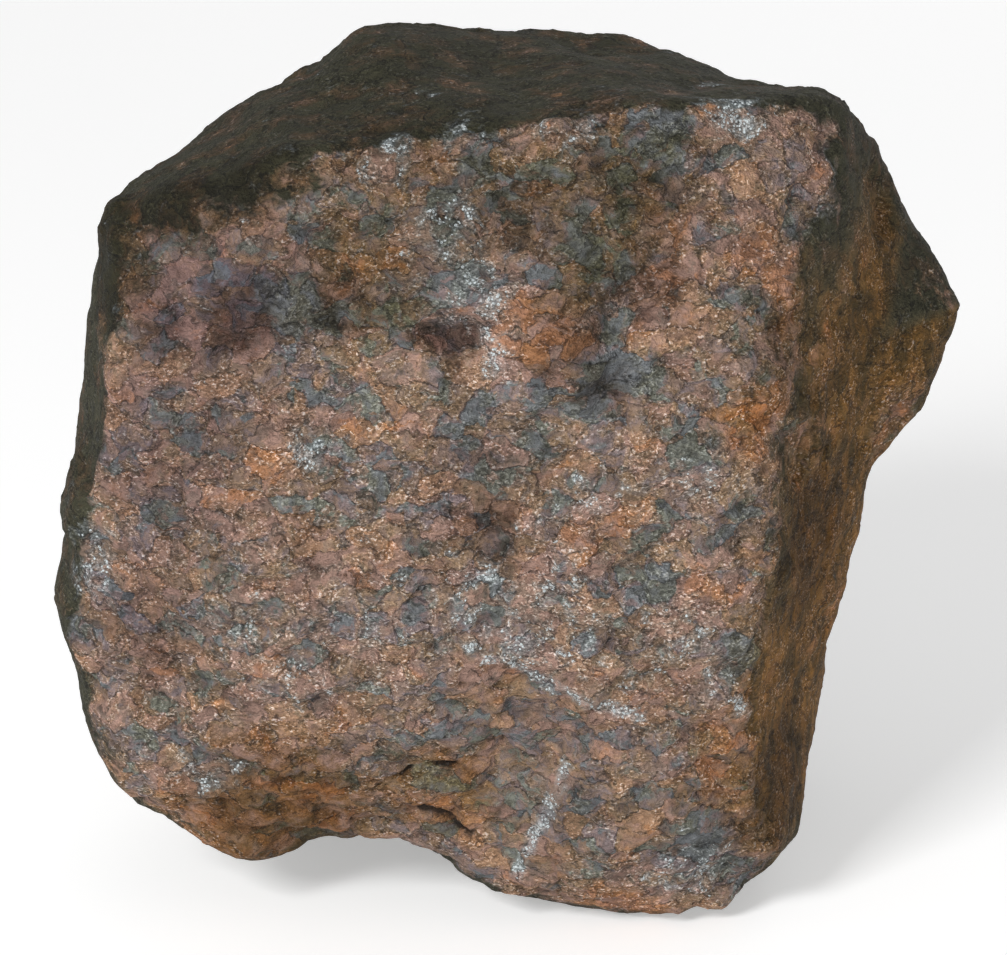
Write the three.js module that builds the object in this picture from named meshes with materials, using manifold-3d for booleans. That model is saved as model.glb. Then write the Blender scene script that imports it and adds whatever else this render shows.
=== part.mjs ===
// A stony meteorite: one solid stone about 150 mm wide that stands on a worn foot.
// Landmarks are places on the skin, in millimetres: X runs along the broad front, Y from front to back, Z up.
// Neighbouring landmarks are joined by flat triangles, which are then split and worn round at their edges.
import * as THREE from "three";
import { ConvexHull } from "three/addons/math/ConvexHull.js";
import { mergeVertices } from "three/addons/utils/BufferGeometryUtils.js";
import Module from "manifold-3d";

// ---- Driving dimensions, in millimetres ----
const HEART = new THREE.Vector3(0, 0, 66); // a point inside the stone that sees its whole skin
const FOOT_HEIGHT = 3; // the foot is worn flat at this height above the landmarks' zero
const WEAR = 0.6; // how round the edges are worn: 0 leaves them sharp, 1 makes a pebble
const CUTTER_SIZE = 400; // the block that flattens the foot is wider than the stone
const WELD = 0.001; // corners closer than this are one corner
const STONE_COLOUR = 0x6e5a4e;

// The skyline of the upright stone, clockwise from the left shoulder.
const SKYLINE = [
  [-63, -17, 121], [-49, -2, 127], [-37, 5, 134], [-24, 14, 142], [-1, 20, 139], [27, 20, 137],
  [38, 6, 134], [54, -11, 136], [61, 2, 125], [67, 7, 110], [76, 2, 96], [71, -2, 82],
  [60, -8, 70], [59, -9, 62], [53, -13, 40], [52, -14, 26], [50, -22, 13],
];
// The lower edge, from the heavy right lobe over the hollow to the left lobe and up its side.
const LOWER_EDGE = [
  [38, -35, 7], [27, -38, 5], [15, -39, 7], [1, -38, 9], [-10, -34, 15], [-18, -34, 18],
  [-31, -34, 17], [-42, -34, 14], [-58, -31, 22], [-67, -28, 37], [-73, -25, 55], [-71, -21, 66],
  [-68, -18, 87], [-66, -19, 104],
];
// Ridges round the broad front: under the top, along the right side, along the narrow left side.
const RIDGES = [
  [-60, -30, 121], [-47, -34, 128], [-33, -36, 134], [-16, -35, 134], [2, -34, 137],
  [18, -32, 140], [42, -22, 139],
  [54, -19, 126], [57, -13, 113], [63, -6, 102], [45, -36, 109], [39, -45, 95], [41, -46, 78],
  [40, -48, 60], [39, -47, 43], [41, -44, 27], [45, -36, 15],
  [-61, -36, 106], [-62, -39, 93], [-67, -37, 69], [-70, -33, 56], [-66, -37, 43], [-57, -40, 31],
];
// The broad front with the panel on its right, and the brow where it turns under.
const FRONT = [
  [-42, -41, 106], [-41, -46, 77], [-41, -48, 51], [-18, -41, 113], [-7, -44, 93], [8, -46, 108],
  [21, -47, 89], [-13, -50, 67], [15, -51, 67], [29, -38, 120], [-1, -51, 54], [-27, -50, 48],
  [25, -49, 44], [57, -17, 92], [50, -28, 70],
  [-41, -43, 27], [-25, -43, 29], [-12, -47, 39], [-5, -41, 25], [6, -48, 41], [15, -46, 20],
  [30, -46, 20],
];
// The foot, with the hollow under the left lobe.
const FOOT = [
  [22, -28, 1], [38, -20, 1], [8, -24, 1], [44, 6, 1], [36, 28, 1], [4, 34, 1], [-28, 27, 1],
  [-43, 14, 1], [-20, 16, 1], [18, 4, 1], [-22, -14, 13], [-42, -16, 11], [-8, -12, 9],
];
// The back: its shoulder all round, then the corners of its own facets.
const BACK = [
  [-46, 22, 121], [-14, 36, 130], [20, 38, 128], [50, 26, 118], [72, 16, 97], [60, 34, 92],
  [62, 18, 66], [56, 30, 42], [48, 34, 16], [10, 46, 14], [-30, 42, 12], [-56, 28, 20],
  [-67, 12, 42], [-69, 8, 70], [-64, 12, 98],
  [-34, 44, 98], [6, 52, 108], [36, 48, 94], [42, 46, 54], [6, 57, 62], [20, 52, 32],
  [-24, 55, 46], [-50, 40, 58],
];
const LANDMARKS = [...SKYLINE, ...LOWER_EDGE, ...RIDGES, ...FRONT, ...FOOT, ...BACK];

// Thumbprint hollows, melted into the skin as the stone fell.
const HOLLOWS = [
  { at: [8, 54, 84], radius: 22, depth: 3.5 },
  { at: [-30, 48, 74], radius: 19, depth: 3 },
  { at: [38, 46, 74], radius: 17, depth: 3 },
  { at: [2, 54, 40], radius: 18, depth: 3 },
  { at: [-42, 40, 36], radius: 17, depth: 2.5 },
  { at: [-10, 44, 118], radius: 17, depth: 2.5 },
  { at: [-69, 0, 84], radius: 17, depth: 2.5 },
  { at: [-70, -2, 54], radius: 14, depth: 2 },
  { at: [2, -6, 140], radius: 20, depth: 1.5 },
  { at: [10, -48, 84], radius: 13, depth: 2 },
  { at: [-26, -45, 92], radius: 15, depth: 1.5 },
];

// Joins each landmark to its neighbours: the hull of their directions from the heart gives the triangles.
function joinLandmarks() {
  const points = LANDMARKS.map((place) => new THREE.Vector3(...place));
  const directions = points.map((point) => point.clone().sub(HEART).normalize());
  const numberOf = new Map(directions.map((direction, i) => [direction, i]));
  const faces = new ConvexHull().setFromPoints(directions).faces.map((face) => {
    const first = face.edge;
    return [first, first.next, first.next.next].map((edge) => numberOf.get(edge.head().point));
  });
  return { points, faces };
}

const edgeName = (a, b) => `${Math.min(a, b)}_${Math.max(a, b)}`;

// Lists each edge once, with its two ends and the two corners that face it.
function edgesOf(faces) {
  const edges = new Map();
  for (const face of faces) {
    face.forEach((a, i) => {
      const b = face[(i + 1) % 3];
      const name = edgeName(a, b);
      if (!edges.has(name)) edges.set(name, { a, b, facing: [] });
      edges.get(name).facing.push(face[(i + 2) % 3]);
    });
  }
  return edges;
}

// Cuts each triangle into four, and draws every point towards its neighbours by a share of Loop's rule.
function split({ points, faces }, wear) {
  const edges = edgesOf(faces);
  const around = points.map(() => []);
  const middles = [];
  for (const edge of edges.values()) {
    const { a, b, facing } = edge;
    around[a].push(b);
    around[b].push(a);
    edge.middle = points.length + middles.length;
    const sides = points[facing[0]].clone().lerp(points[facing[1]], 0.5);
    middles.push(points[a].clone().lerp(points[b], 0.5).lerp(sides, wear / 4));
  }
  const worn = points.map((point, i) => {
    const count = around[i].length;
    const share = 0.625 - (0.375 + Math.cos((2 * Math.PI) / count) / 4) ** 2;
    const mean = new THREE.Vector3();
    for (const j of around[i]) mean.addScaledVector(points[j], 1 / count);
    return point.clone().lerp(mean, share * wear);
  });
  const middleOf = (a, b) => edges.get(edgeName(a, b)).middle;
  const smaller = faces.flatMap(([a, b, c]) => {
    const [ab, bc, ca] = [middleOf(a, b), middleOf(b, c), middleOf(c, a)];
    return [[a, ab, ca], [ab, b, bc], [ca, bc, c], [ab, bc, ca]];
  });
  return { points: [...worn, ...middles], faces: smaller };
}

// Presses the thumbprints in towards the heart, each with a soft rim.
function pressHollows(points) {
  for (const { at, radius, depth } of HOLLOWS) {
    const centre = new THREE.Vector3(...at);
    for (const point of points) {
      const near = 1 - point.distanceTo(centre) / radius;
      if (near <= 0) continue;
      const inward = HEART.clone().sub(point).normalize();
      point.addScaledVector(inward, depth * near * near * (3 - 2 * near));
    }
  }
}

function geometryOf({ points, faces }) {
  const corners = faces.flat().flatMap((i) => points[i].toArray());
  const geometry = new THREE.BufferGeometry();
  geometry.setAttribute("position", new THREE.Float32BufferAttribute(corners, 3));
  return geometry;
}

const wasm = await Module();
wasm.setup();

function solidOf(geometry) {
  const bare = new THREE.BufferGeometry();
  bare.setAttribute("position", geometry.attributes.position);
  bare.setIndex(geometry.index);
  const welded = mergeVertices(bare, WELD);
  return new wasm.Manifold(
    new wasm.Mesh({
      numProp: 3,
      vertProperties: welded.attributes.position.array,
      triVerts: new Uint32Array(welded.index.array),
    }),
  );
}

// Wears the foot flat, then sets the stone down with its foot at zero, centred in X and Y.
function standOnFoot(geometry) {
  const cutter = new THREE.BoxGeometry(CUTTER_SIZE, CUTTER_SIZE, CUTTER_SIZE);
  cutter.translate(0, 0, FOOT_HEIGHT - CUTTER_SIZE / 2);
  const mesh = solidOf(geometry).subtract(solidOf(cutter)).getMesh();
  const stone = new THREE.BufferGeometry();
  stone.setAttribute("position", new THREE.BufferAttribute(mesh.vertProperties, mesh.numProp));
  stone.setIndex(new THREE.BufferAttribute(mesh.triVerts, 1));
  stone.computeBoundingBox();
  const { min, max } = stone.boundingBox;
  stone.translate(-(min.x + max.x) / 2, -(min.y + max.y) / 2, -FOOT_HEIGHT);
  stone.computeVertexNormals();
  return stone;
}

const facets = split(joinLandmarks(), 0);
const skin = split(facets, WEAR);
pressHollows(skin.points);

const stone = new THREE.Mesh(
  standOnFoot(geometryOf(skin)),
  new THREE.MeshStandardMaterial({ color: STONE_COLOUR, roughness: 0.9, metalness: 0 }),
);
stone.name = "meteorite";

const group = new THREE.Group();
group.add(stone);

export default group;
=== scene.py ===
import math

import bpy
import numpy as np
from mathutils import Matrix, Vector, noise


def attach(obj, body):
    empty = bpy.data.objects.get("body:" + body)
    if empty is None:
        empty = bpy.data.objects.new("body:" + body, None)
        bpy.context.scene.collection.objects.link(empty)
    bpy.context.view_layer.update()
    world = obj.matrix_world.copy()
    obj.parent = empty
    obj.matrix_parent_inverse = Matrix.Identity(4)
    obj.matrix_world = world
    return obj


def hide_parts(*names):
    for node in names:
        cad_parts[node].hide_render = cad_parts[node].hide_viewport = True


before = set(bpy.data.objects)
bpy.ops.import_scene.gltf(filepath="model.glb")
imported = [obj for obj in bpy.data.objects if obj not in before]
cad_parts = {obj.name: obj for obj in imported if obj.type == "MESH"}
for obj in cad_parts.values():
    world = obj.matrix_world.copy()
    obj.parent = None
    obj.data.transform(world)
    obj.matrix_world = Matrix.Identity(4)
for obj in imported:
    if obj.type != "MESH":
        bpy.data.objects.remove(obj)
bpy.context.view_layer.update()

MM = 0.001

# ---- The stone's shape, in millimetres ----
GRID = 0.93  # spacing of the skin's mesh: fine enough for flakes and cracks
SOFTENING = 24  # rounds of smoothing that take the flat facets out of the solid's skin
BROAD_SIZE = 22.0
MOUND_SIZE = 17.0
MEDIUM_SIZE = 8.0
PLATE_SIZE = 7.0
CHIP_SIZE = 2.8
GRAIN_SIZE = 2.2
LAYERING = 1.6  # plates and grain are this much wider than they are high
THUMBPRINT_SIZE = 19.0
THUMBPRINT_DEPTH = 2.0
WOBBLE_SIZE = 7.0
STAIN_WOBBLE = 3.2  # how far the edges of stains and swells wander,
CRACK_WOBBLE = 0.7  # and those of cracks and salt lines

# Swells (positive) and hollows (negative) of the skin: place, radius and height.
SWELLS = [
    ((7, -47, 102), 9.5, 3.0),  # the rust-red knob
    ((-45, -41, 112), 13, 2.8),  # the mound under the left shoulder
    ((22, -49, 26), 15, 1.6),  # the lobe at the lower right
    ((3, -51, 37), 14, -3.0),  # the smooth hollow under the brow
    ((-8, -46, 103), 5, -2.4),  # the dark crease left of the knob
    ((-3, -51, 73), 7, -1.2),
    ((-42, -43, 104), 7, -1.2),
    ((-28, -42, 114), 6, -1.2),
    ((22, -44, 110), 6, -1.2),
    ((14, -49, 92), 7, -2.4),  # the foot of the grey ledge under the knob
    ((-16, -50, 88), 9, 1.2),
    ((30, -48, 84), 9, 1.2),
    ((12, -52, 66), 9, 1.2),
    ((-38, -49, 60), 12, 1.2),
    ((-14, -51, 52), 9, 1.0),
    ((-55, -45, 52), 1.8, -1.4),  # a small round pit
    ((-60, -32, 28), 17, 2.5),  # the lower left flank
    ((-44, -34, 10), 14, 2.2),
    ((-6, -38, 10), 9, 1.8),
    ((33, -38, 5), 8, -1.0),
    ((-68, -32, 71), 9, 2.6),
    ((-65, -28, 118), 8, 1.6),  # the left shoulder
    ((-33, 9, 133), 11, -1.8),
    ((15, 10, 136), 12, -1.5),
    ((59, -4, 113), 9, -2.4),
    ((66, -10, 82), 9, 1.2),  # the right shoulder
]

# Cracks and ledges, each a line across the skin, its half width, its depth and how much shade is painted
# into it.
CRACKS = [
    (((-20, -46, 29), (-15, -48, 30.5), (-9, -47, 31)), 0.6, 1.5, 1.3),
    (((-20, -42, 24), (-13, -44, 23), (-10, -43, 21.5), (-6, -41, 17)), 0.7, 1.5, 1.2),
    (((-3, -44, 21), (1, -44, 18)), 0.5, 0.9, 1.1),
    (((4, -50, 38), (9, -50, 36.5), (14, -51, 35)), 0.8, 0.8, 0.5),
    (((19, -52, 42), (24, -52, 43)), 0.6, 0.9, 0.7),
    (((46, -35, 83), (45, -36, 76)), 0.7, 1.2, 0.9),
    (((-2, -47, 89), (7, -48, 92), (20, -47, 98)), 1.6, 1.0, 0.4),
]

# ---- Stains on the skin, and patches of painted shade: place, radius and strength ----
# Pale weathering salts, in patches and along lines. A line has a half width in place of a radius.
FROST = [
    ((-19, -38, 129), 5, 0.7),
    ((-13, -22, 135), 4, 0.6),
    ((-8, -34, 132), 5, 0.6),
    ((4, -35, 133), 5, 0.5),
    ((12, -36, 132), 5, 0.7),
    ((35, -28, 133), 7, 0.85),
    ((32, -11, 134), 5, 0.7),
    ((-10, -43, 117), 10, 0.6),
    ((-5, -45, 110), 9, 0.6),
    ((-3, -47, 101), 5, 0.75),
    ((-31, -46, 85), 4, 0.9),
    ((-5, -53, 62), 8, 0.7),
    ((-1, -53, 57), 7, 0.75),
    ((14, -50, 78), 7, 0.5),
    ((28, -49, 82), 7, 0.5),
    ((-66, -39, 62), 9, 0.7),
    ((-40, -49, 55), 10, 0.5),
    ((-33, -51, 47), 8, 0.5),
    ((-50, -45, 30), 8, 0.6),
    ((32, -52, 48), 7, 0.5),
    ((8, -53, 60), 14, 0.5),
    ((22, -52, 56), 13, 0.45),
    ((30, -45, 14), 11, 0.65),
    ((-20, -52, 60), 14, 0.3),
]
FROST_LINES = [
    (((-6, -53, 54), (6, -53, 47), (20, -52, 42)), 2.0, 0.9),
    (((1, -51, 73), (14, -50, 78), (28, -49, 82)), 1.8, 0.6),
    (((9, -50, 32), (5, -47, 22), (1, -43, 11)), 1.8, 0.9),
    (((35, -52, 47), (37, -49, 40)), 2.5, 0.6),
]
# Stone that has rusted less, and more, than the rest.
GREY = [
    ((30, -45, 12), 11, 1.0),
    ((28, -50, 37), 4, 1.0),
    ((31, -49, 26), 6, 0.8),
    ((22, -52, 62), 4, 0.9),
    ((20, -52, 67), 3, 0.9),
    ((14, -46, 13), 5, 0.9),
    ((20, -36, 132), 7, 0.8),
    ((10, -49, 93), 8, 1.1),
    ((18, -48, 96), 7, 1.1),
    ((12, -44, 115), 8, 0.9),
    ((-34, -43, 108), 7, 0.8),
    ((-23, -40, 123), 6, 0.4),
    ((38, -50, 62), 4, 0.9),
    ((-44, -37, 124), 5, 0.7),
    ((-28, -52, 55), 6, 0.4),
    ((-31, -46, 80), 6, 0.6),
]
ORANGE = [
    ((6, -48, 103), 8, 1.0),
    ((31, -37, 121), 2.6, 1.3),
    ((-25, -42, 117), 5, 0.8),
    ((37, -47, 88), 5, 1.0),
    ((42, -37, 111), 7, 0.9),
    ((-1, -53, 47), 3, 0.9),
    ((-5, -53, 51), 3, 0.9),
    ((7, -48, 81), 3, 0.9),
    ((22, -41, 118), 5, 0.9),
    ((23, -52, 47), 5, 0.7),
    ((32, -51, 63), 6, 0.9),
    ((-37, -46, 86), 6, 0.6),
    ((-33, -51, 58), 6, 0.6),
    ((21, -42, 5), 12, 1.5),
    ((8, -43, 8), 6, 0.7),
    ((-50, -37, 18), 12, 0.5),
    ((-29, -48, 33), 12, 0.5),
    ((14, -52, 72), 6, 0.6),
    ((43, -26, 129), 6, 0.6),
]
# Crust that reaches from the top and the right side over the edges of the broad front.
CRUSTED = [
    ((-62, -32, 117), 10, 0.8),
    ((-53, -34, 123), 9, 1.1),
    ((-43, -37, 127), 8, 1.1),
    ((-35, -38, 127), 6, 0.8),
    ((-66, -32, 105), 8, 1.1),
    ((-67, -32, 88), 7, 0.7),
    ((60, -9, 108), 20, 1.2),
    ((55, -18, 92), 18, 0.9),
    ((50, -27, 106), 12, 0.8),
    ((66, -9, 90), 14, 0.8),
    ((50, -30, 70), 14, 0.9),
]
# Smooth, rubbed places with little loose grain.
WORN = [
    ((3, -50, 37), 16, 1.0),
    ((2, -46, 22), 14, 0.9),
    ((-45, -41, 112), 12, 0.8),
    ((-36, -44, 22), 16, 0.7),
    ((26, -48, 26), 12, 0.5),
    ((8, -48, 103), 8, 0.5),
]
# Where the crust has come off the back.
BROKEN = [
    ((-34, 40, 44), 20, 0.9),
    ((34, 36, 96), 18, 0.9),
    ((20, 44, 22), 12, 0.7),
    ((-58, 14, 96), 14, 0.6),
]
# Broad hues: ochre earth and a purple bloom; and painted shade, in broad olive-tinted patches and in dark
# hollows.
WARM = [
    ((52, -20, 60), 34, 1.0),
    ((54, -26, 88), 20, 0.9),
    ((60, -10, 96), 22, 0.95),
    ((48, -29, 38), 29, 1.4),
    ((-40, -44, 20), 20, 0.8),
    ((-12, -45, 26), 12, 0.7),
    ((42, -37, 108), 10, 0.7),
    ((38, -46, 92), 7, 0.8),
    ((0, -52, 50), 6, 0.6),
]
MAUVE = [
    ((-46, -41, 110), 20, 1.0),
    ((-52, -43, 84), 20, 0.8),
    ((-58, -42, 58), 16, 0.7),
    ((-4, -50, 78), 14, 0.5),
]
# Painted shade: broad patches where the stone is darkened and tinted olive, under the top, on the lower
# left flank and low on the right side.
PAINTED_SHADE_PATCHES = [
    ((-64, -32, 112), 13, 1.2),
    ((-52, -36, 122), 9, 1.0),
    ((-40, -38, 126), 9, 1.0),
    ((-12, -40, 124), 22, 0.65),
    ((14, -40, 122), 18, 0.8),
    ((-22, -42, 112), 14, 0.8),
    ((12, -44, 112), 10, 0.7),
    ((42, -40, 100), 10, 0.6),
    ((-36, -46, 20), 22, 0.7),
    ((48, -31, 64), 17, 0.9),
    ((44, -36, 24), 16, 0.9),
]
# Painted shade in hollows and creases, and on and round the knob.
PAINTED_HOLLOW_SHADE = [
    ((-10, -46, 102), 6, 1.0),
    ((-42, -43, 104), 9, 0.8),
    ((-3, -51, 73), 6, 0.7),
    ((-54, -41, 102), 7, 0.6),
    ((22, -44, 110), 8, 0.6),
    ((0, -41, 121), 8, 0.5),
    ((-31, -50, 68), 5, 0.5),
    ((-26, -43, 108), 6, 0.6),
    ((-55, -45, 50), 6, 0.5),
    ((8, -48, 102), 9, 0.5),
    ((14, -49, 94), 7, 0.7),
    ((38, -46, 93), 7, 0.3),
]


def smooth_step(low, high, value):
    """0 below low, 1 above high, and an easy curve between them."""
    share = np.clip((value - low) / (high - low), 0.0, 1.0)
    return share * share * (3.0 - 2.0 * share)


def lumps(places, size, octaves, seed):
    """Random lumps from about -1 to 1, the largest about size millimetres across."""
    far = Vector((seed * 13.7, seed * 5.1, seed * 9.3))
    return np.array([noise.fractal(Vector(p) / size + far, 1.0, 2.0, octaves) for p in places])


def mounds(places, size, octaves, seed):
    """Rounded mounds about size millimetres across, from 0 in the sharp creases between them to about 1."""
    far = Vector((seed * 7.3, seed * 2.9, seed * 12.1))
    return np.array([noise.turbulence(Vector(p) / size + far, octaves, True) for p in places])


def chips(places, size, seed):
    """Broken plates about size millimetres across: each plate's own height, and how near its edge is."""
    far = Vector((seed * 3.9, seed * 11.3, seed * 6.1))
    height = np.empty(len(places))
    edge = np.empty(len(places))
    for i, p in enumerate(places):
        distances, centres = noise.voronoi(Vector(p) / size + far)
        height[i] = noise.cell(centres[0] * 7.0)
        edge[i] = distances[1] - distances[0]
    return height, edge


def line_distance(places, line):
    """How far each place is from a line through the given points."""
    nearest = np.full(len(places), 1e9)
    for start, end in zip(line[:-1], line[1:]):
        start = np.array(start, float)
        along = np.array(end, float) - start
        share = np.clip((places - start) @ along / (along @ along), 0.0, 1.0)
        gap = np.linalg.norm(places - start - share[:, None] * along, axis=1)
        nearest = np.minimum(nearest, gap)
    return nearest


def spots(places, stains):
    """The strongest of the stains at each place."""
    strength = np.zeros(len(places))
    for centre, radius, amount in stains:
        gap = np.linalg.norm(places - np.array(centre, float), axis=1)
        strength = np.maximum(strength, amount * (1.0 - smooth_step(0.3, 1.3, gap / radius)))
    return strength


def fine_skin():
    """A fine, even mesh over the solid's skin, softened so that its flat triangles don't show."""
    skin = bpy.data.objects.new("skin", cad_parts["meteorite"].data.copy())
    bpy.context.scene.collection.objects.link(skin)
    remesh = skin.modifiers.new("even grid", "REMESH")
    remesh.mode = "VOXEL"
    remesh.voxel_size = GRID * MM
    smooth = skin.modifiers.new("soften", "SMOOTH")
    smooth.factor = 0.5
    smooth.iterations = SOFTENING
    shaped = skin.evaluated_get(bpy.context.evaluated_depsgraph_get())
    mesh = bpy.data.meshes.new_from_object(shaped)
    bpy.data.objects.remove(skin)
    mesh.materials.clear()
    return mesh


def store(mesh, name, values):
    """Keeps a value for each point of the mesh, for the material to read by name."""
    layer = mesh.attributes.new(name, "FLOAT", "POINT")
    layer.data.foreach_set("value", values.astype(np.float32))


def skin_places(mesh):
    """Each point of the skin, in millimetres, and the direction straight out of the stone there."""
    flat = np.empty(len(mesh.vertices) * 3, np.float32)
    mesh.vertices.foreach_get("co", flat)
    places = flat.reshape(-1, 3).astype(float) / MM
    mesh.vertices.foreach_get("normal", flat)
    return places, flat.reshape(-1, 3).astype(float)


def bare_share(wobbled, out, broad, medium):
    """1 where the stone broke open on its way down and is bare, 0 where the crust still covers it."""
    bare = smooth_step(0.3, 0.75, -out[:, 1] + 0.12 * broad + 0.12 * medium)
    bare *= 1.0 - np.minimum(spots(wobbled, CRUSTED), 1.0)
    fallen = smooth_step(0.4, 0.65, spots(wobbled, BROKEN) + 0.35 * broad + 0.2 * medium)
    return np.maximum(bare, fallen)


def broken_surface(places, wobble, bare, broad, medium):
    """How far mounds, plates, chips and grain lift the skin, and how low each place is among them, for
    painted shade in the creases and seams.
    """
    stretched = places * (1.0, 1.0, LAYERING)
    mound = mounds(stretched + 1.5 * wobble, MOUND_SIZE, 3, 9)
    plate, edge = chips(stretched + 2.4 * wobble, PLATE_SIZE, 6)
    small_plate = chips(stretched + 1.6 * wobble, CHIP_SIZE, 7)[0]
    grain = lumps(stretched, GRAIN_SIZE, 3, 8)
    seams = smooth_step(0.14, 0.0, edge)
    creases = smooth_step(0.22, 0.05, mound)
    rough = 0.25 + 0.75 * bare  # the melted crust is smoother than the broken stone

    lift = 0.9 * broad + rough * (0.6 * medium + 2.4 * (mound - 0.4))
    lift += rough * (0.5 * plate + 0.25 * small_plate - 0.4 * seams + 0.3 * grain)
    # How far down in creases and seams each place lies: the finish paints shade there.
    low = np.clip(0.9 * creases + 0.7 * seams - 0.6 * grain - 0.2 * plate, 0.0, 1.0) * rough
    return lift, low


def thumbprints(places, wobble, out):
    """Hollows that the air melted into the crusted back."""
    edge = chips(places + 4.0 * wobble, THUMBPRINT_SIZE, 10)[1]
    on_back = smooth_step(0.0, 0.5, out[:, 1])
    return THUMBPRINT_DEPTH * on_back * (smooth_step(0.45, 0.0, edge) - 0.5)


def swells(wobbled):
    """How far the swells and hollows lift the skin at each place."""
    lift = np.zeros(len(wobbled))
    for centre, radius, height in SWELLS:
        gap = np.linalg.norm(wobbled - np.array(centre, float), axis=1)
        lift += height * (1.0 - smooth_step(0.2, 1.2, gap / radius))
    return lift


def cracks(shaky):
    """How deep the cracks are at each place, and how much shade is painted into them."""
    depths = np.zeros(len(shaky))
    painted_crack_shade = np.zeros(len(shaky))
    for line, half_width, depth, darkness in CRACKS:
        gap = line_distance(shaky, line) / half_width
        depths += depth * (1.0 - smooth_step(0.0, 2.0, gap))
        # Painted shade in the crack, strongest along its middle.
        painted_crack_shade = np.maximum(painted_crack_shade, darkness * np.clip(1.0 - gap / 2.5, 0.0, 1.0))
    return depths, painted_crack_shade


def frost_on(wobbled, shaky):
    """How much weathering salt lies at each place."""
    frost = spots(wobbled, FROST)
    for line, half_width, amount in FROST_LINES:
        near = 1.0 - smooth_step(0.3, 1.2, line_distance(shaky, line) / half_width)
        frost = np.maximum(frost, amount * near)
    return frost


def make_stone():
    """The stone's skin with its swells, chips, grain and cracks, and the masks that colour it and paint
    shade on it.
    """
    mesh = fine_skin()
    places, out = skin_places(mesh)

    # Wobbled places give stains and cracks a natural outline.
    wobble = np.stack([lumps(places, WOBBLE_SIZE, 4, seed) for seed in (3, 4, 5)], axis=1)
    wobbled = places + STAIN_WOBBLE * wobble
    shaky = places + CRACK_WOBBLE * wobble

    broad = lumps(places, BROAD_SIZE, 2, 1)
    medium = lumps(places, MEDIUM_SIZE, 3, 2)
    bare = bare_share(wobbled, out, broad, medium)
    lift, low = broken_surface(places, wobble, bare, broad, medium)
    depths, painted_crack_shade = cracks(shaky)
    lift += thumbprints(places, wobble, out) + swells(wobbled) - depths
    frost = frost_on(wobbled, shaky)

    # Besides stains and wear, some masks paint shade: broad shaded patches, hollows, cracks, and creases
    # and seams.
    masks = {
        "bare": bare,
        "frost": 1.4 * frost,
        "worn": spots(wobbled, WORN) - 0.5 * frost,
        "rusty": spots(wobbled, ORANGE) - spots(wobbled, GREY),
        "warm": spots(wobbled, WARM) * smooth_step(0.42, 0.18, out[:, 2]),
        "mauve": spots(wobbled, MAUVE),
        "painted_shade": spots(wobbled, PAINTED_SHADE_PATCHES),
        "dark": spots(wobbled, PAINTED_HOLLOW_SHADE),
        "crack": painted_crack_shade,
        "low": low,
    }
    for name, values in masks.items():
        store(mesh, name, values)

    places += out * lift[:, None]
    places[:, 2] = np.maximum(places[:, 2], 0.0)  # nothing reaches below the foot
    mesh.vertices.foreach_set("co", (places * MM).astype(np.float32).ravel())
    mesh.shade_smooth()
    stone = bpy.data.objects.new("meteorite_stone", mesh)
    bpy.context.scene.collection.objects.link(stone)
    return stone


# ---- Finishes ----
def linear(hex_colour):
    """An sRGB hex colour as the linear values that the shaders take."""
    channels = [int(hex_colour[i : i + 2], 16) / 255 for i in (1, 3, 5)]
    return [c / 12.92 if c <= 0.04045 else ((c + 0.055) / 1.055) ** 2.4 for c in channels] + [1.0]


def add(tree, kind, settings=None, take=None, **sockets):
    """Adds one node and returns its first output, or the one named.

    A socket takes a value or another node's output.
    """
    node = tree.nodes.new(kind)
    for name, value in (settings or {}).items():
        setattr(node, name, value)
    for name, value in sockets.items():
        plain = name.replace("_", " ")
        socket = next(s for s in node.inputs if s.identifier == name or s.name == plain)
        if isinstance(value, bpy.types.NodeSocket):
            tree.links.new(value, socket)
        else:
            socket.default_value = value
    return next((o for o in node.outputs if take in (None, o.identifier, o.name)), None)


MATH = "ShaderNodeMath"
VECTOR = "ShaderNodeVectorMath"
RANGE = "ShaderNodeMapRange"
NOISE = "ShaderNodeTexNoise"
CELLS = "ShaderNodeTexVoronoi"
PARTS = "ShaderNodeSeparateXYZ"
MIX = "ShaderNodeMix"
COLOUR = {"data_type": "RGBA"}
TINT = {"data_type": "RGBA", "blend_type": "MULTIPLY"}
EASED = {"interpolation_type": "SMOOTHSTEP"}
TIMES_PLUS = {"operation": "MULTIPLY_ADD"}
TIMES = {"operation": "MULTIPLY"}
PLUS = {"operation": "ADD"}
MINUS = {"operation": "SUBTRACT"}
MIXED = "Result_Color"

# Sizes in the finish, in millimetres. It has plates and chips of its own, smaller than those of the shape.
PLATE = 5.5
CHIP = 2.3
CRUMB = 0.55
WRINKLE = 1.6
PATCH = 3.0
BLOTCH = 6.5
STREAK = 3.5
SALT_RING = 0.52
PULL_SIZE = 4.0  # plates and patches are pulled about in waves of this size,
PULL = 5.0  # by a little under a third of this
FINE_RELIEF = 0.45  # depth of the grain that is too fine for the mesh

# How the bare stone changes colour as rust builds up: the rust level where each colour starts and is full.
UNRUSTED = "#6d7371"  # cool grey
RUST_STEPS = [
    (0.54, 0.62, "#796d68"),  # mauve brown
    (0.63, 0.70, "#857363"),  # brown
    (0.72, 0.82, "#957b6a"),  # rust
    (0.89, 1.04, "#a2795a"),  # fresh orange rust
]
# Broad changes of hue, and painted shade, each multiplied in where its stored mask is full.
HUES = [
    ("warm", "#f6deb0"),  # ochre earth on the right side and along the lower edge
    ("mauve", "#dad8e2"),  # a purple bloom on the upper left
    ("painted_shade", "#b9b398"),  # painted shade, tinted olive, under the top and low on the flanks
    ("dark", "#a39795"),  # painted shade in hollows and creases
]
MASKS = ("bare", "frost", "rusty", "warm", "mauve", "painted_shade", "dark", "crack", "low", "worn")


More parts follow.
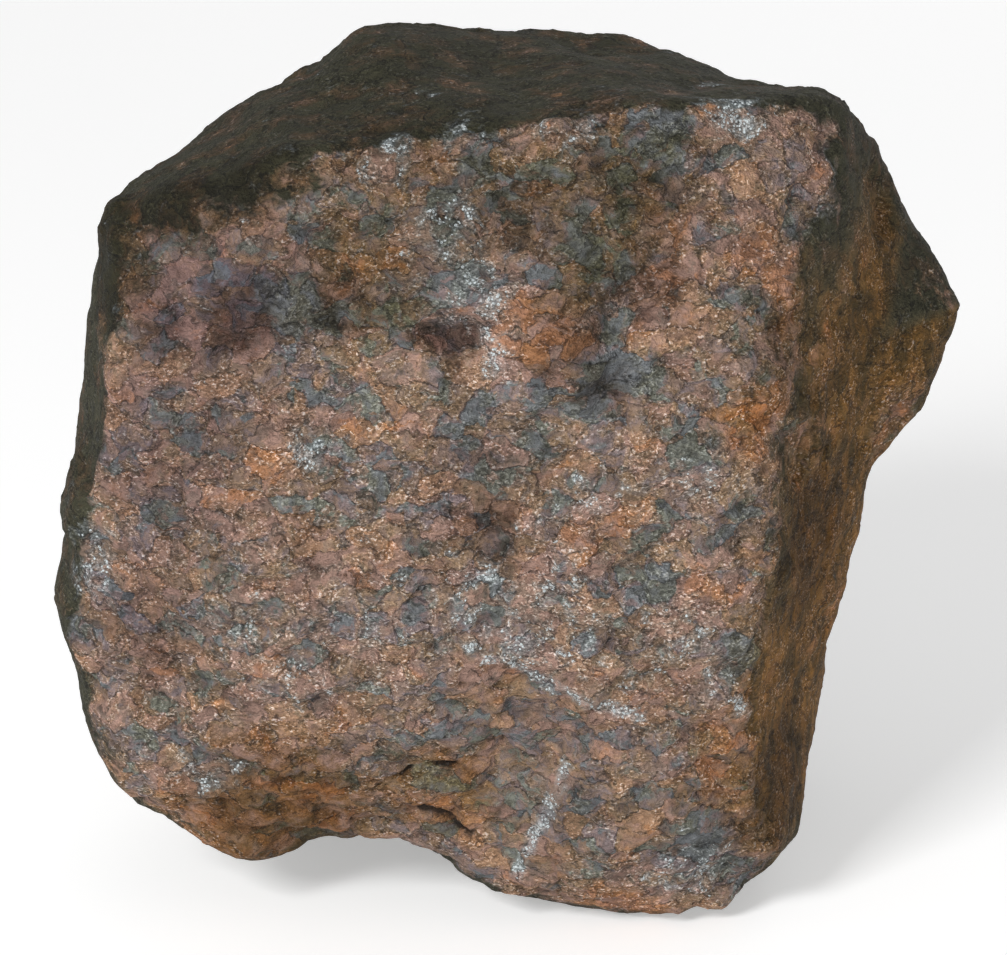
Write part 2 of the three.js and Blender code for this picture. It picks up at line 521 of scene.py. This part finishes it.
def grain_of(tree):
    """The patterns that the whole finish shares, each scaled from a real size."""
    place = add(tree, "ShaderNodeTexCoord", take="Object")
    pull = add(tree, NOISE, take="Color", Vector=place, Scale=1 / (PULL_SIZE * MM), Detail=4.0)
    pull = add(tree, VECTOR, MINUS, Vector=pull, Vector_001=(0.5, 0.5, 0.5))
    pull = add(tree, VECTOR, {"operation": "SCALE"}, Vector=pull, Scale=PULL * MM)
    warped = add(tree, VECTOR, PLUS, Vector=place, Vector_001=pull)
    # Plates, chips and crumbs lie flat, as the stone's layers do, and streaks run down it.
    layered = add(tree, VECTOR, TIMES, Vector=warped, Vector_001=(1.0, 1.0, 1.5))
    upright = add(tree, VECTOR, TIMES, Vector=warped, Vector_001=(1.0, 1.0, 0.4))
    flat = add(tree, VECTOR, TIMES, Vector=place, Vector_001=(1.0, 1.0, 1.5))

    # Each plate and each chip has its own rust, hue and lightness.
    plate = {"Vector": layered, "Scale": 1 / (PLATE * MM)}
    chip = {"Vector": layered, "Scale": 1 / (CHIP * MM)}
    plate_look = add(tree, CELLS, take="Color", **plate)
    chip_look = add(tree, CELLS, take="Color", **chip)
    grain = {
        "place": place,
        "plate_rust": add(tree, PARTS, take="X", Vector=plate_look),
        "plate_hue": add(tree, PARTS, take="Y", Vector=plate_look),
        "plate_light": add(tree, PARTS, take="Z", Vector=plate_look),
        "chip_rust": add(tree, PARTS, take="X", Vector=chip_look),
        "chip_light": add(tree, PARTS, take="Z", Vector=chip_look),
        "plate_edge": add(tree, CELLS, {"feature": "DISTANCE_TO_EDGE"}, **plate),
    }
    patterns = (
        ("crumb", flat, CRUMB, {"Detail": 2.0, "Distortion": 0.7}),
        ("wrinkle", layered, WRINKLE, {"Detail": 3.0, "Distortion": 0.6}),
        ("patch", warped, PATCH, {"Detail": 4.0, "Roughness": 0.6}),
        ("blotch", warped, BLOTCH, {"Detail": 5.0, "Roughness": 0.62}),
        ("streak", upright, STREAK, {"Detail": 4.0, "Roughness": 0.6}),
    )
    for name, where, size, sockets in patterns:
        grain[name] = add(tree, NOISE, Vector=where, Scale=1 / (size * MM), **sockets)
    for name in MASKS:
        grain[name] = add(tree, "ShaderNodeAttribute", {"attribute_name": name}, take="Fac")
    return grain


def bare_stone(tree, grain):
    """The broken stone: grey, then mauve, brown and orange as it rusts, cooler or warmer in patches."""
    level = add(tree, MATH, TIMES_PLUS, Value=grain["rusty"], Value_001=0.22, Value_002=grain["blotch"])
    level = add(tree, MATH, TIMES_PLUS, Value=grain["plate_rust"], Value_001=0.3, Value_002=level)
    level = add(tree, MATH, TIMES_PLUS, Value=grain["chip_rust"], Value_001=0.14, Value_002=level)
    colour = linear(UNRUSTED)
    for start, full, hex_colour in RUST_STEPS:
        rust = linear(hex_colour)
        cover = add(tree, RANGE, EASED, Value=level, From_Min=start, From_Max=full)
        colour = add(tree, MIX, COLOUR, MIXED, Factor_Float=cover, A_Color=colour, B_Color=rust)
    warmth = add(tree, MATH, TIMES_PLUS, Value=grain["plate_hue"], Value_001=0.25, Value_002=grain["patch"])
    warmth = add(tree, RANGE, EASED, Value=warmth, From_Min=0.48, From_Max=0.78)
    cool = linear("#efe9f2")
    warm = linear("#f7ecd8")
    hue = add(tree, MIX, COLOUR, MIXED, Factor_Float=warmth, A_Color=cool, B_Color=warm)
    return add(tree, MIX, TINT, MIXED, Factor_Float=1.0, A_Color=colour, B_Color=hue)


def fusion_crust(tree, grain):
    """The melted skin: dark olive, and streaked brown where it is warm."""
    olive = linear("#353426")
    brown = linear("#473928")
    dark_streak = linear("#4b4029")
    light_streak = linear("#80653f")
    spot = add(tree, RANGE, EASED, Value=grain["blotch"], From_Min=0.46, From_Max=0.64)
    crust = add(tree, MIX, COLOUR, MIXED, Factor_Float=spot, A_Color=olive, B_Color=brown)
    run = add(tree, MATH, PLUS, Value=grain["streak"], Value_001=grain["blotch"])
    run = add(tree, RANGE, EASED, Value=run, From_Min=0.78, From_Max=1.18)
    earth = add(tree, MIX, COLOUR, MIXED, Factor_Float=run, A_Color=dark_streak, B_Color=light_streak)
    return add(tree, MIX, COLOUR, MIXED, Factor_Float=grain["warm"], A_Color=crust, B_Color=earth)


def crust_over_stone(tree, grain):
    """Bare stone where the crust has come off, and in flecks through it, with the broad hues over all."""
    edge = add(tree, MATH, TIMES_PLUS, Value=grain["blotch"], Value_001=2.4, Value_002=grain["bare"])
    edge = add(tree, MATH, TIMES_PLUS, Value=grain["wrinkle"], Value_001=0.8, Value_002=edge)
    opened = add(tree, RANGE, EASED, Value=edge, From_Min=1.8, From_Max=2.5)
    crust = fusion_crust(tree, grain)
    stone = bare_stone(tree, grain)
    colour = add(tree, MIX, COLOUR, MIXED, Factor_Float=opened, A_Color=crust, B_Color=stone)
    for name, hex_colour in HUES:
        tint = linear(hex_colour)
        ragged = add(tree, MATH, TIMES_PLUS, Value=grain["patch"], Value_001=1.6, Value_002=grain[name])
        cover = add(tree, RANGE, EASED, Value=ragged, From_Min=0.85, From_Max=1.75)
        colour = add(tree, MIX, TINT, MIXED, Factor_Float=cover, A_Color=colour, B_Color=tint)
    return colour


def plate_edges(tree, grain):
    """The frayed zones along the edges of the plates, and the gaps between them, which get painted shade.
    """
    rim = add(tree, RANGE, EASED, Value=grain["plate_edge"], From_Min=0.16, From_Max=0.0)
    frayed = add(tree, MATH, TIMES_PLUS, Value=rim, Value_001=0.1, Value_002=grain["patch"])
    frayed = add(tree, MATH, TIMES_PLUS, Value=grain["worn"], Value_001=-0.14, Value_002=frayed)
    frayed = add(tree, RANGE, EASED, Value=frayed, From_Min=0.42, From_Max=0.58)
    # The gaps between plates, darkened as painted shade.
    gap = add(tree, MATH, TIMES_PLUS, Value=rim, Value_001=0.5, Value_002=grain["wrinkle"])
    gap = add(tree, RANGE, EASED, Value=gap, From_Min=0.96, From_Max=1.04)
    return frayed, gap


def salt_frost(tree, grain):
    """Pale weathering salts: small rings and dots in a broken net, and the thin veil round them."""
    cells = {"Vector": grain["place"], "Scale": 1 / (SALT_RING * MM)}
    ring = add(tree, CELLS, **cells)
    ring = add(tree, MATH, MINUS, Value=ring, Value_001=0.3)
    ring = add(tree, MATH, {"operation": "ABSOLUTE"}, Value=ring)
    ring = add(tree, RANGE, EASED, Value=ring, From_Min=0.24, From_Max=0.05)
    net = add(tree, MATH, TIMES_PLUS, Value=grain["patch"], Value_001=4.0, Value_002=grain["frost"])
    net = add(tree, RANGE, EASED, Value=net, From_Min=2.4, From_Max=3.8)
    chance = add(tree, CELLS, take="Color", **cells)
    chance = add(tree, MATH, TIMES_PLUS, Value=net, Value_001=1.0, Value_002=chance)
    chance = add(tree, RANGE, EASED, Value=chance, From_Min=1.08, From_Max=1.25)
    frost = add(tree, MATH, TIMES, Value=chance, Value_001=ring)
    veil = add(tree, MATH, TIMES, Value=net, Value_001=0.62)
    return frost, veil


def fine_light(tree, grain, frayed, gap):
    """Light and shade too fine for the mesh, and how much of it is pale crumbs."""
    # Painted shade: dark lines along the cracks and the highest wrinkle folds.
    painted_line_shade = add(tree, MATH, TIMES_PLUS, Value=grain["wrinkle"], Value_001=0.5, Value_002=grain["crack"])
    painted_line_shade = add(tree, RANGE, EASED, Value=painted_line_shade, From_Min=0.85, From_Max=1.15)
    pale = add(tree, RANGE, EASED, Value=grain["crumb"], From_Min=0.58, From_Max=0.68)
    pale = add(tree, MATH, TIMES, Value=pale, Value_001=frayed)
    bite = add(tree, RANGE, Value=frayed, To_Min=0.12, To_Max=0.46)
    light = add(tree, RANGE, Value=grain["crumb"], From_Min=0.38, From_Max=0.62, To_Min=-1.0, To_Max=1.0)
    light = add(tree, MATH, TIMES_PLUS, Value=light, Value_001=bite, Value_002=1.0)
    # Each fact's low and high, and how light the stone is at them.
    shades = (
        (grain["plate_light"], 0.0, 1.0, 0.88, 1.12),
        (grain["chip_light"], 0.0, 1.0, 0.9, 1.1),
        (pale, 0.0, 1.0, 1.0, 1.7),
        (grain["wrinkle"], 0.3, 0.7, 0.8, 1.2),
        # Painted shade in the creases and seams.
        (grain["low"], 0.0, 1.0, 1.05, 0.62),
        # Painted shade in the gaps between plates.
        (gap, 0.0, 1.0, 1.0, 0.5),
        # Painted shade in the cracks and along the wrinkle folds.
        (painted_line_shade, 0.0, 1.0, 1.0, 0.12),
    )
    for fact, low, high, at_low, at_high in shades:
        ends = {"From_Min": low, "From_Max": high, "To_Min": at_low, "To_Max": at_high}
        shade = add(tree, RANGE, Value=fact, **ends)
        light = add(tree, MATH, TIMES, Value=light, Value_001=shade)
    return light, pale


def fine_relief(tree, grain, gap, frost):
    """The grain's relief, from wrinkles and crumbs to the steps between chips."""
    height = add(tree, MATH, TIMES_PLUS, Value=grain["wrinkle"], Value_001=2.5, Value_002=grain["crumb"])
    steps = ((grain["plate_light"], 0.8), (grain["chip_light"], 0.7), (gap, -0.6), (frost, 0.3))
    for fact, amount in steps:
        height = add(tree, MATH, TIMES_PLUS, Value=fact, Value_001=amount, Value_002=height)
    return add(tree, "ShaderNodeBump", Strength=1.0, Distance=FINE_RELIEF * MM, Height=height)


def meteoritic_stone():
    """Weathered stony meteorite: matt and grainy, rusted from its own iron, with a dark fusion crust.

    Rust gives it brown and orange blotches, salts a pale frost, and loose crumbs a rough, speckled light.
    """
    material = bpy.data.materials.new("weathered_stony_meteorite")
    material.use_nodes = True
    tree = material.node_tree
    tree.nodes.clear()
    grain = grain_of(tree)
    frayed, gap = plate_edges(tree, grain)
    frost, veil = salt_frost(tree, grain)
    light, pale = fine_light(tree, grain, frayed, gap)

    veil_grey = linear("#8c9599")
    salt_white = linear("#c8d0d2")
    colour = crust_over_stone(tree, grain)
    colour = add(tree, MIX, COLOUR, MIXED, Factor_Float=veil, A_Color=colour, B_Color=veil_grey)
    clean = add(tree, RANGE, Value=pale, To_Min=1.0, To_Max=0.45)
    colour = add(tree, "ShaderNodeHueSaturation", Saturation=clean, Value=light, Color=colour)
    colour = add(tree, MIX, COLOUR, MIXED, Factor_Float=frost, A_Color=colour, B_Color=salt_white)
    shader = add(
        tree,
        "ShaderNodeBsdfPrincipled",
        Base_Color=colour,
        Roughness=add(tree, MATH, TIMES_PLUS, Value=frost, Value_001=-0.25, Value_002=0.88),
        Normal=fine_relief(tree, grain, gap, frost),
        IOR=1.6,
        Specular_IOR_Level=0.2,
    )
    add(tree, "ShaderNodeOutputMaterial", Surface=shader)
    return material


stone = make_stone()
stone.data.materials.append(meteoritic_stone())
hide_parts("meteorite")
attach(stone, "root")


# ---- Studio ----
FLOOR_REACH = 8.0
STONE_MIDDLE = (0.0, 0.0, 0.068)


def softbox(name, place, size, power):
    """A square studio softbox at a place, facing the middle of the stone."""
    light = bpy.data.lights.new(name, "AREA")
    light.shape = "SQUARE"
    light.size = size
    light.energy = power
    lamp = bpy.data.objects.new(name, light)
    lamp.location = place
    lamp.rotation_euler = (Vector(STONE_MIDDLE) - Vector(place)).to_track_quat("-Z", "Y").to_euler()
    bpy.context.scene.collection.objects.link(lamp)


def white_paper():
    """White background paper: matt, and glowing a little so that its shadows stay pale."""
    material = bpy.data.materials.new("white_paper")
    material.use_nodes = True
    sockets = material.node_tree.nodes["Principled BSDF"].inputs
    sockets["Base Color"].default_value = linear("#eeeeee")
    sockets["Roughness"].default_value = 0.9
    sockets["Emission Color"].default_value = (1, 1, 1, 1)
    sockets["Emission Strength"].default_value = 0.36
    return material


def make_floor():
    """A flat sheet of paper under the stone."""
    corners = [(x * FLOOR_REACH, y * FLOOR_REACH, 0) for x, y in ((-1, -1), (1, -1), (1, 1), (-1, 1))]
    mesh = bpy.data.meshes.new("floor")
    mesh.from_pydata(corners, [], [(0, 1, 2, 3)])
    mesh.materials.append(white_paper())
    sheet = bpy.data.objects.new("floor", mesh)
    bpy.context.scene.collection.objects.link(sheet)
    return sheet


floor = make_floor()

softbox("key softbox", (-0.6, -0.95, 0.8), 0.35, 13.0)
softbox("front softbox", (0.15, -1.5, 0.1), 0.9, 9.0)
softbox("back softbox", (0.5, 1.5, 0.45), 1.0, 6.0)

# The studio's pale walls shine on the stone from all sides, and its darker ceiling from above.
world = bpy.data.worlds.new("studio")
bpy.context.scene.world = world
world.use_nodes = True
direction = add(world.node_tree, "ShaderNodeTexCoord", take="Generated")
rise = add(world.node_tree, PARTS, take="Z", Vector=direction)
walls_to_ceiling = {"From_Min": 0.1, "From_Max": 0.5, "To_Min": 0.8, "To_Max": 0.3}
glow = add(world.node_tree, RANGE, EASED, Value=rise, **walls_to_ceiling)
world.node_tree.links.new(glow, world.node_tree.nodes["Background"].inputs["Color"])

# ---- Camera: a long lens, looking down on the stone ----
CAMERA_DISTANCE = 0.75
CAMERA_AIM = Vector((-0.0011, -0.0026, 0.0641))
CAMERA_TILT = math.radians(20)
LENS_LENGTH = 162.0  # in millimetres

lens = bpy.data.cameras.new("camera")
lens.lens = LENS_LENGTH
camera = bpy.data.objects.new("camera", lens)
camera.location = CAMERA_AIM + CAMERA_DISTANCE * Vector((0, -math.cos(CAMERA_TILT), math.sin(CAMERA_TILT)))
camera.rotation_euler = (CAMERA_AIM - camera.location).to_track_quat("-Z", "Y").to_euler()
bpy.context.scene.collection.objects.link(camera)
bpy.context.scene.camera = camera
bpy.context.scene.view_settings.view_transform = "Standard"
